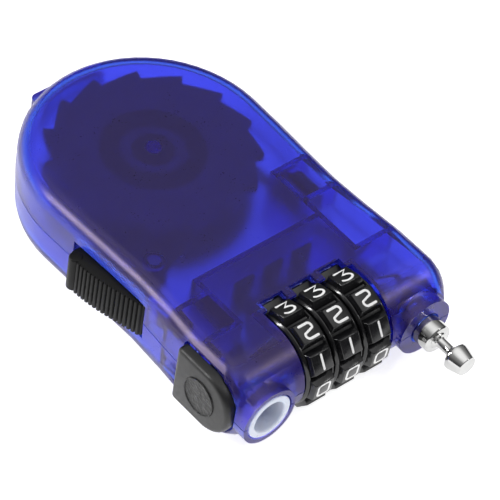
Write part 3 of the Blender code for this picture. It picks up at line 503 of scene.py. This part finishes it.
def dial_pad():
    """A raised pad with a flat face and sloping sides, standing on +Z."""
    low, high = 7.95 * MM, PAD_FACE_RADIUS
    foot, face = (2.61 * MM, 2.37 * MM), (2.15 * MM, 1.85 * MM)
    bm = bmesh.new()
    bmesh.ops.create_cube(bm, size=2)
    for part in bm.verts:
        size = face if part.co.z > 0 else foot
        part.co = (part.co.x * size[0], part.co.y * size[1], high if part.co.z > 0 else low)
    bmesh.ops.bevel(
        bm, geom=bm.edges[:], offset=sizes().pad_edge, offset_type="OFFSET", segments=3,
        profile=0.5, affect="EDGES", clamp_overlap=True, material=-1,
    )
    return bm


def pad_place(index, axis):
    """Where a pad sits: its face looks outwards and its top lies away from the front."""
    angle = FIRST_PAD + index * PAD_TURN
    turn = Matrix.Rotation(RIGHT_ANGLE - angle, 4, "X")
    return Matrix.Translation(axis) @ turn


class DIALS_OT_build(bpy.types.Operator):
    """Make the three dials with their raised pads"""

    bl_idname = "lock.build_dials"
    bl_label = "Dials"

    def execute(self, context):
        black = tuple(finishes().dial_black)
        look = plastic("dial gloss black", black, (0.13, 0.24), 3500, 5e-6, 0.3)
        for name in DIALS:
            bm = dial_ring()
            for index in range(PAD_COUNT):
                join_in(bm, dial_pad(), pad_place(index, (0, 0, 0)))
            bmesh.ops.translate(bm, verts=bm.verts, vec=dial_axis(name))
            finished(name + "_pads", bm, look, name, [name], 25)
        return {"FINISHED"}


def bow(cx, cy, rx, ry, start, end, steps=12):
    """Points on an oval, in degrees."""
    turns = [math.radians(start + (end - start) * i / steps) for i in range(steps + 1)]
    return [(cx + rx * math.cos(t), cy + ry * math.sin(t)) for t in turns]


def digit_lines(digit):
    """The lines of a digit in a box from -0.5 to 0.5, and whether each is closed."""
    ring = bow(0.22, 0.3, 0.28, 0.2, 0, 90, 4) + bow(-0.22, 0.3, 0.28, 0.2, 90, 180, 4)
    ring += bow(-0.22, -0.3, 0.28, 0.2, 180, 270, 4) + bow(0.22, -0.3, 0.28, 0.2, 270, 360, 4)
    two = [(-0.5, 0.5)] + bow(0.17, 0.24, 0.26, 0.26, 90, -35, 8)
    two += bow(-0.13, -0.24, 0.26, 0.26, 145, 270, 8) + [(0.5, -0.5)]
    three = [(-0.46, 0.5), (0.46, 0.5), (-0.08, 0.1)] + bow(0, -0.2, 0.5, 0.3, 85, -150, 12)
    five = [(0.44, 0.5), (-0.4, 0.5), (-0.44, 0.06)] + bow(0, -0.18, 0.48, 0.32, 125, -150, 12)
    upper, lower = bow(0, 0.25, 0.38, 0.25, 0, 345, 14), bow(0, -0.22, 0.48, 0.28, 0, 345, 14)
    lines = {
        0: [(ring, True)],
        1: [([(0, -0.5), (0, 0.5)], False)],
        2: [(two, False)],
        3: [(three, False)],
        4: [([(0.2, -0.5), (0.2, 0.5), (-0.5, -0.2), (0.5, -0.2)], False)],
        5: [(five, False)],
        6: [(bow(0, -0.2, 0.48, 0.3, 0, 345, 14), True), ([(0.28, 0.5), (-0.42, -0.06)], False)],
        7: [([(-0.46, 0.5), (0.46, 0.5), (-0.12, -0.5)], False)],
        8: [(upper, True), (lower, True)],
        9: [(bow(0, 0.2, 0.48, 0.3, 0, 345, 14), True), ([(0.42, 0.06), (-0.28, -0.5)], False)],
    }
    return lines[digit]


def digit_mesh(digit):
    """A digit as a thin raised print on the plane z = 0, upright along +Y."""
    values = sizes()
    width, height, half_stroke = values.digit_width, values.digit_height, values.digit_stroke / 2
    flattened = 0.14
    lines = digit_lines(digit)
    paths = [[(x * width, y * height, 0) for x, y in line] for line, _ in lines]
    closed = [index for index, (_, shut) in enumerate(lines) if shut]
    bm = tube_along(paths, half_stroke, 3, closed)
    for index, path in enumerate(paths):
        for end in () if index in closed else (path[0], path[-1]):
            bmesh.ops.create_uvsphere(
                bm, u_segments=16, v_segments=8, radius=half_stroke, matrix=Matrix.Translation(end),
            )
    bmesh.ops.scale(bm, verts=bm.verts, vec=(1, 1, flattened))
    return bm


class DIGITS_OT_build(bpy.types.Operator):
    """Print the digits on the dials' pads"""

    bl_idname = "lock.build_digits"
    bl_label = "Digits"

    def execute(self, context):
        look = plastic("digit white", tuple(finishes().digit_white), (0.35, 0.5), 6000, 3e-6, 0.05)
        out = Matrix.Translation((0, 0, PAD_FACE_RADIUS))
        for name in DIALS:
            bm = bmesh.new()
            for digit in range(PAD_COUNT):
                join_in(bm, digit_mesh(digit), pad_place(digit, dial_axis(name)) @ out)
            finished(name + "_digits", bm, look, name, (), 40)
        return {"FINISHED"}


class BUTTON_OT_build(bpy.types.Operator):
    """Make the release button with its rounded rim and rough thumb mark"""

    bl_idname = "lock.build_button"
    bl_label = "Release Button"

    def execute(self, context):
        low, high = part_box("release_button")
        values = sizes()
        face_x, back_x = low.x, -24.3 * MM
        corners = [
            (back_x, low.y, low.z), (back_x, high.y, low.z),
            (back_x, high.y, high.z), (back_x, low.y, high.z),
        ]
        round_end, small_corner = (high.z - low.z) / 2, 1.0 * MM
        radii = (round_end, small_corner, small_corner, round_end)
        bm = rounded_plate(corners, radii, (face_x - back_x, 0, 0), values.button_edge, 5)
        middle_y, middle_z = dial_axis("dial_1").y + 1.0 * MM, (low.z + high.z) / 2
        stem_size, stem_place = (8.2 * MM, 1.7 * MM, 3.6 * MM), (-20.5 * MM, -43.25 * MM, middle_z)
        stem = bmesh.new()
        bmesh.ops.create_cube(stem, size=1)
        bmesh.ops.scale(stem, verts=stem.verts, vec=stem_size)
        bmesh.ops.translate(stem, verts=stem.verts, vec=stem_place)
        mark, depth, rim, proud = values.thumb_mark, 0.12 * MM, 0.35 * MM, 0.1 * MM
        profile = [
            (0, 0), (mark - rim, 0), (mark - 0.75 * rim, -1.2 * depth),
            (mark - 0.3 * rim, -1.5 * depth), (mark, 0.5 * depth), (mark, 3 * depth), (0, 3 * depth),
        ]
        disc = turned(profile, "X", (face_x - proud, middle_y, middle_z))
        join_in(bm, stem)
        look = grip_plastic()
        finished("button_cap", bm, look, "button", ["release_button"], 30)
        black = tuple(finishes().black)
        rough = plastic("thumb mark rough black", black, (0.34, 0.6), 1900, 4.5e-4, 0.6, 0.5)
        finished("button_thumb_mark", disc, rough, "button", (), 30)
        return {"FINISHED"}


def grip_plastic():
    """The satin black of the button, pawl, detent spring, cable guide and outlet bush."""
    name, black = "grip satin black", tuple(finishes().black)
    found = bpy.data.materials.get(name)
    return found or plastic(name, black, (0.34, 0.46), 5200, 1.3e-5, 0.25, 0.42)


class LEVER_OT_build(bpy.types.Operator):
    """Make the ribbed rewind lever"""

    bl_idname = "lock.build_lever"
    bl_label = "Rewind Lever"

    def execute(self, context):
        bm = merged_copy("recoil_lever")
        bevel_sharp(bm, sizes().lever_edge, 28, 2)
        low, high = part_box("recoil_lever")
        radius, proud, from_end = 1.3 * MM, 0.35 * MM, 1.45 * MM
        nose = (low.x + radius - proud, high.y - from_end, 0)
        over, nose_edge = 0.12 * MM, 0.35 * MM
        ends = low.z - over, high.z + over
        outline = [(0, ends[0]), (radius, ends[0]), (radius, ends[1]), (0, ends[1])]
        join_in(bm, turned(outline, "Z", nose, nose_edge))
        black = shade(tuple(finishes().black), 0.6)
        look = plastic("lever matt black", black, (0.42, 0.52), 4200, 1.2e-5, 0.25, 0.16)
        finished("lever_grip", bm, look, "lever", ["recoil_lever"], 35)
        return {"FINISHED"}


class PLUG_OT_build(bpy.types.Operator):
    """Turn the chromed plug"""

    bl_idname = "lock.build_plug"
    bl_label = "Chromed Plug"

    def execute(self, context):
        low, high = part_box("pin_plug")
        centre = ((low.x + high.x) / 2, 0, (low.z + high.z) / 2)
        face, tail, tip = -59.9, high.y / MM, low.y / MM
        neck_end = face - 4.0
        bore, bore_end = 2.1, -58.2
        points = [
            (bore, tail), (2.75, tail), (2.95, tail - 0.2), (2.95, face + 0.25), (2.7, face),
            (1.75, face), (1.6, face - 0.35), (1.12, face - 0.55), (1.02, face - 0.9),
            (1.02, neck_end + 0.75), (1.57, neck_end + 0.35), (1.62, neck_end),
            (2.25, neck_end - 0.05), (2.7, neck_end - 0.45), (2.7, neck_end - 1.1),
            (2.02, tip + 0.1), (1.87, tip), (0, tip), (0, bore_end), (bore, bore_end),
        ]
        profile = [(radius * MM, height * MM) for radius, height in points]
        look = metal("plug chrome", (0.50, 0.50, 0.495), (0.06, 0.12), lined=True)
        bm = turned(profile, "Y", centre, 0.05 * MM)
        finished("plug_chrome", bm, look, "plug", ["pin_plug"], 25)
        return {"FINISHED"}


class BUSH_OT_build(bpy.types.Operator):
    """Turn the socket's white lining"""

    bl_idname = "lock.build_bush"
    bl_label = "Socket Lining"

    def execute(self, context):
        low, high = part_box("pin_bush")
        centre = ((low.x + high.x) / 2, 0, (low.z + high.z) / 2)
        front, lip, tail = low.y, low.y + 2.7 * MM, high.y
        collar, sleeve = 4.65 * MM, 3.75 * MM
        profile = [
            (3.5 * MM, front), (4.5 * MM, front), (collar, front + 0.15 * MM), (collar, lip),
            (sleeve, lip), (sleeve, tail), (3.1 * MM, tail), (3.3 * MM, front + 0.25 * MM),
        ]
        white = tuple(finishes().nylon)
        look = plastic("lining milky white", white, (0.25, 0.38), 3000, 5e-6, 0.04)
        shader = look.node_tree.nodes["Principled BSDF"]
        shader.inputs["Subsurface Weight"].default_value = 0.35
        shader.inputs["Subsurface Radius"].default_value = (0.6, 0.9, 1.0)
        shader.inputs["Subsurface Scale"].default_value = 0.8 * MM
        bm = turned(profile, "Y", centre, 0.05 * MM)
        finished("socket_lining", bm, look, "case", ["pin_bush"], 30)
        return {"FINISHED"}


class CABLE_OT_build(bpy.types.Operator):
    """Lay the cable from its drum to the plug, and wind the rest on the drum"""

    bl_idname = "lock.build_cable"
    bl_label = "Cable"

    def execute(self, context):
        look = plastic("cable sheath", (0.012, 0.012, 0.015), (0.25, 0.38), 2500, 1.2e-5, 0.3)
        low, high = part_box("cable_run")
        radius = (high.z - low.z) / 2
        inner, outer = 14.2 * MM, 16.4 * MM  # the middles of the two layers on the drum
        exit_x, height = middle("pin_plug").x, middle("cable_run").z
        start_y, outlet_y, end_y = high.y, -50.0 * MM, low.y
        coarse, fine = 40, 60  # steps before the outlet, and past it, where the strand stretches
        stops = [start_y + (outlet_y - start_y) * i / coarse for i in range(coarse)]
        stops += [outlet_y + (end_y - outlet_y) * i / fine for i in range(fine + 1)]
        quickness = 3.5  # how soon the strand swings from the drum over to the outlet
        points = []
        for y in stops:
            share = min(1.0, quickness * (y - start_y) / (end_y - start_y))
            points.append((outer + (exit_x - outer) * share * share * (3 - 2 * share), y, height))
        strand = tube_along([points], radius, 4)
        run = finished("cable_strand", strand, look, None, ["cable_run"], 50)
        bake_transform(run)
        low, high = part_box("cable_winding")
        rows, steps = 4, 60
        line = (high.z - low.z) / rows
        paths = []
        for middle_radius in (inner, outer):
            turns = [i / steps for i in range(1 + (rows - 1) * steps)]
            paths.append([
                (
                    middle_radius * math.cos(math.tau * t),
                    middle_radius * math.sin(math.tau * t),
                    low.z + line * (0.5 + t),
                )
                for t in turns
            ])
        thinned = 0.99  # keeps neighbouring turns apart
        wound = tube_along(paths, line / 2 * thinned, 3)
        finished("cable_wound", wound, look, "drum", ["cable_winding"], 50)
        return {"FINISHED"}


class INSIDE_OT_build(bpy.types.Operator):
    """Give the pieces inside the case their finishes"""

    bl_idname = "lock.build_inside"
    bl_label = "Inner Pieces"

    def execute(self, context):
        drum = plastic("drum dark plastic", (0.15, 0.085, 0.085), (0.42, 0.55), 3000, 1.2e-5, 0.3)
        hub = plastic("hub dark olive", (0.003, 0.004, 0.001), (0.5, 0.6), 3000, 8e-6, 0.3, 0.1)
        nylon = plastic("washer white", (0.55, 0.6, 0.62), (0.35, 0.5), 3000, 6e-6, 0.05)
        steel = metal("inner steel", (0.35, 0.35, 0.36), (0.25, 0.4))
        brass = metal("inner brass", (0.55, 0.38, 0.16), (0.22, 0.36))
        looks = {
            "cable_drum": drum, "drum_lower_flange": drum,
            "spring_arbor": hub, "drum_washer": nylon,
            "mainspring": steel, "latch_plate": steel, "button_spring": steel,
            "lever_spring": steel, "pivot_screw": steel, "spindle": brass, "crimp_sleeve": brass,
            "dial_sleeve_1": brass, "dial_sleeve_2": brass, "dial_sleeve_3": brass,
            "pawl": grip_plastic(), "detent_spring": grip_plastic(), "cable_guide": grip_plastic(),
            "outlet_bush": grip_plastic(),
        }
        for node, look in looks.items():
            mesh = frame["nodes"][node].data
            mesh.materials.clear()
            mesh.materials.append(look)
        # A dark sheet of painted shade, laid over the drum's top recess where shade falls.
        ring = plastic("drum recess painted shade", (0.012, 0.009, 0.006), (0.5, 0.6), 3000, 8e-6, 0.3, 0.1)
        self.hub(ring, hub)
        return {"FINISHED"}

    def hub(self, recess_shade_look, washer_look):
        """Two flat rings round the drum's axle: a dark sheet of painted shade over the drum's top
        recess, and a washer that clears the arbor and the cover.
        """
        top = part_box("cable_drum")[1].z
        for name, look, body, inner, outer, low, high in (
            # Painted shade: this thin dark ring lies over the drum's top recess.
            ("drum_recess_painted_shade", recess_shade_look, "drum", 6.4 * MM, 9.7 * MM, 0.02 * MM, 0.14 * MM),
            ("hub_washer", washer_look, "case", 1.7 * MM, 3.5 * MM, 0.42 * MM, 0.62 * MM),
        ):
            profile = [(inner, low), (outer, low), (outer, high), (inner, high)]
            bm = turned(profile, "Z", (0, 0, top), 0.03 * MM)
            finished(name, bm, look, body, (), 30)


def lamp(name, place, target, size, power):
    light = bpy.data.lights.new(name, "AREA")
    light.shape = "RECTANGLE"
    light.size, light.size_y = size
    light.energy = power
    piece = bpy.data.objects.new(name, light)
    bpy.context.scene.collection.objects.link(piece)
    piece.location = place
    piece.rotation_euler = (Vector(target) - Vector(place)).to_track_quat("-Z", "Y").to_euler()


class STAGE_OT_build(bpy.types.Operator):
    """Set the floor, the soft lights and the camera"""

    bl_idname = "lock.build_stage"
    bl_label = "Stage"

    def execute(self, context):
        self.floor()
        self.sky(context.scene)
        lamp("side softbox", (-0.36, 0.22, 0.27), (0, -0.02, 0), (0.03, 0.24), 1.5)
        lamp("front softbox", (0.30, -0.34, 0.42), (0, -0.03, 0), (0.16, 0.05), 0.5)
        self.camera(context.scene)
        context.scene.view_settings.view_transform = "Standard"
        return {"FINISHED"}

    def floor(self):
        half_side, below = 2.5, 0.05 * MM
        bm = bmesh.new()
        bmesh.ops.create_grid(bm, x_segments=1, y_segments=1, size=half_side)
        bmesh.ops.translate(bm, verts=bm.verts, vec=(0, 0, CAD_BOX[0][2] - below))
        mesh = bpy.data.meshes.new("studio_floor")
        bm.to_mesh(mesh)
        bm.free()
        piece = bpy.data.objects.new("studio_floor", mesh)
        bpy.context.scene.collection.objects.link(piece)
        paper = plastic("floor white paper", (0.93, 0.93, 0.93), (0.6, 0.7), 900, 1e-6, 0.01)
        shader = paper.node_tree.nodes["Principled BSDF"]
        shader.inputs["Emission Color"].default_value = (1, 1, 1, 1)
        shader.inputs["Emission Strength"].default_value = 0.75
        mesh.materials.append(paper)

    def sky(self, scene):
        """Brighter overhead than at the horizon, so that polished metal shows dark bands."""
        world = bpy.data.worlds.new("studio")
        world.use_nodes = True
        scene.world = world
        tree = world.node_tree
        place = tree.nodes.new("ShaderNodeTexCoord")
        parts = tree.nodes.new("ShaderNodeSeparateXYZ")
        ramp = tree.nodes.new("ShaderNodeValToRGB")
        tree.links.new(place.outputs["Generated"], parts.inputs[0])
        tree.links.new(parts.outputs["Z"], ramp.inputs["Fac"])
        stops = ramp.color_ramp.elements
        stops[0].position, stops[0].color = 0.08, (0.10, 0.10, 0.11, 1)
        stops[1].position, stops[1].color = 0.97, (1.6, 1.6, 1.6, 1)
        for position, level in ((0.3, 0.12), (0.74, 0.45)):
            stops.new(position).color = (level, level, level, 1)
        tree.links.new(ramp.outputs["Color"], tree.nodes["Background"].inputs["Color"])
        tree.nodes["Background"].inputs["Strength"].default_value = 1.0

    def camera(self, scene):
        """Looks down from the front left, a little rolled. Lengths are in millimetres."""
        turn, lift, roll = math.radians(-47.605), math.radians(46.447), math.radians(9.938)
        distance, across, up_by, focal = 619.0, 5.377, -1.617, 3451.5
        right = Vector((math.cos(turn), math.sin(turn), 0))
        ahead = Vector((
            -math.sin(turn) * math.cos(lift), math.cos(turn) * math.cos(lift), -math.sin(lift),
        ))
        up = right.cross(ahead)
        side = math.cos(roll) * right + math.sin(roll) * up
        top = math.cos(roll) * up - math.sin(roll) * right
        place = (Vector((0, -20, 9)) + across * side + up_by * top - distance * ahead) * MM
        frame_width = 500
        data = bpy.data.cameras.new("camera")
        data.sensor_width = 36
        data.lens = focal * data.sensor_width / frame_width
        data.clip_start = 0.01
        piece = bpy.data.objects.new("camera", data)
        scene.collection.objects.link(piece)
        facing = Matrix((side, top, -ahead)).transposed().to_4x4()
        piece.matrix_world = Matrix.Translation(place) @ facing
        scene.camera = piece


OPERATORS = (
    CASE_OT_build,
    DIALS_OT_build,
    DIGITS_OT_build,
    BUTTON_OT_build,
    LEVER_OT_build,
    PLUG_OT_build,
    BUSH_OT_build,
    CABLE_OT_build,
    INSIDE_OT_build,
    STAGE_OT_build,
)


class LOCK_PT_sidebar(bpy.types.Panel):
    """The lock's settings and its pieces"""

    bl_idname = "LOCK_PT_sidebar"
    bl_label = "Cable Lock"
    bl_space_type = "VIEW_3D"
    bl_region_type = "UI"
    bl_category = "Cable Lock"

    def draw(self, context):
        for group in (context.scene.lock_sizes, context.scene.lock_finishes):
            box = self.layout.box()
            for name in group.__annotations__:
                box.prop(group, name)
        for operator in OPERATORS:
            self.layout.operator(operator.bl_idname)


CLASSES = (LockSizes, LockFinishes, *OPERATORS, LOCK_PT_sidebar)


def register():
    for item in CLASSES:
        bpy.utils.register_class(item)
    bpy.types.Scene.lock_sizes = PointerProperty(type=LockSizes)
    bpy.types.Scene.lock_finishes = PointerProperty(type=LockFinishes)


def unregister():
    del bpy.types.Scene.lock_finishes
    del bpy.types.Scene.lock_sizes
    for item in reversed(CLASSES):
        bpy.utils.unregister_class(item)


def main():
    register()
    for operator in OPERATORS:
        group, name = operator.bl_idname.split(".")
        getattr(getattr(bpy.ops, group), name)()


if __name__ == "__main__":
    main()
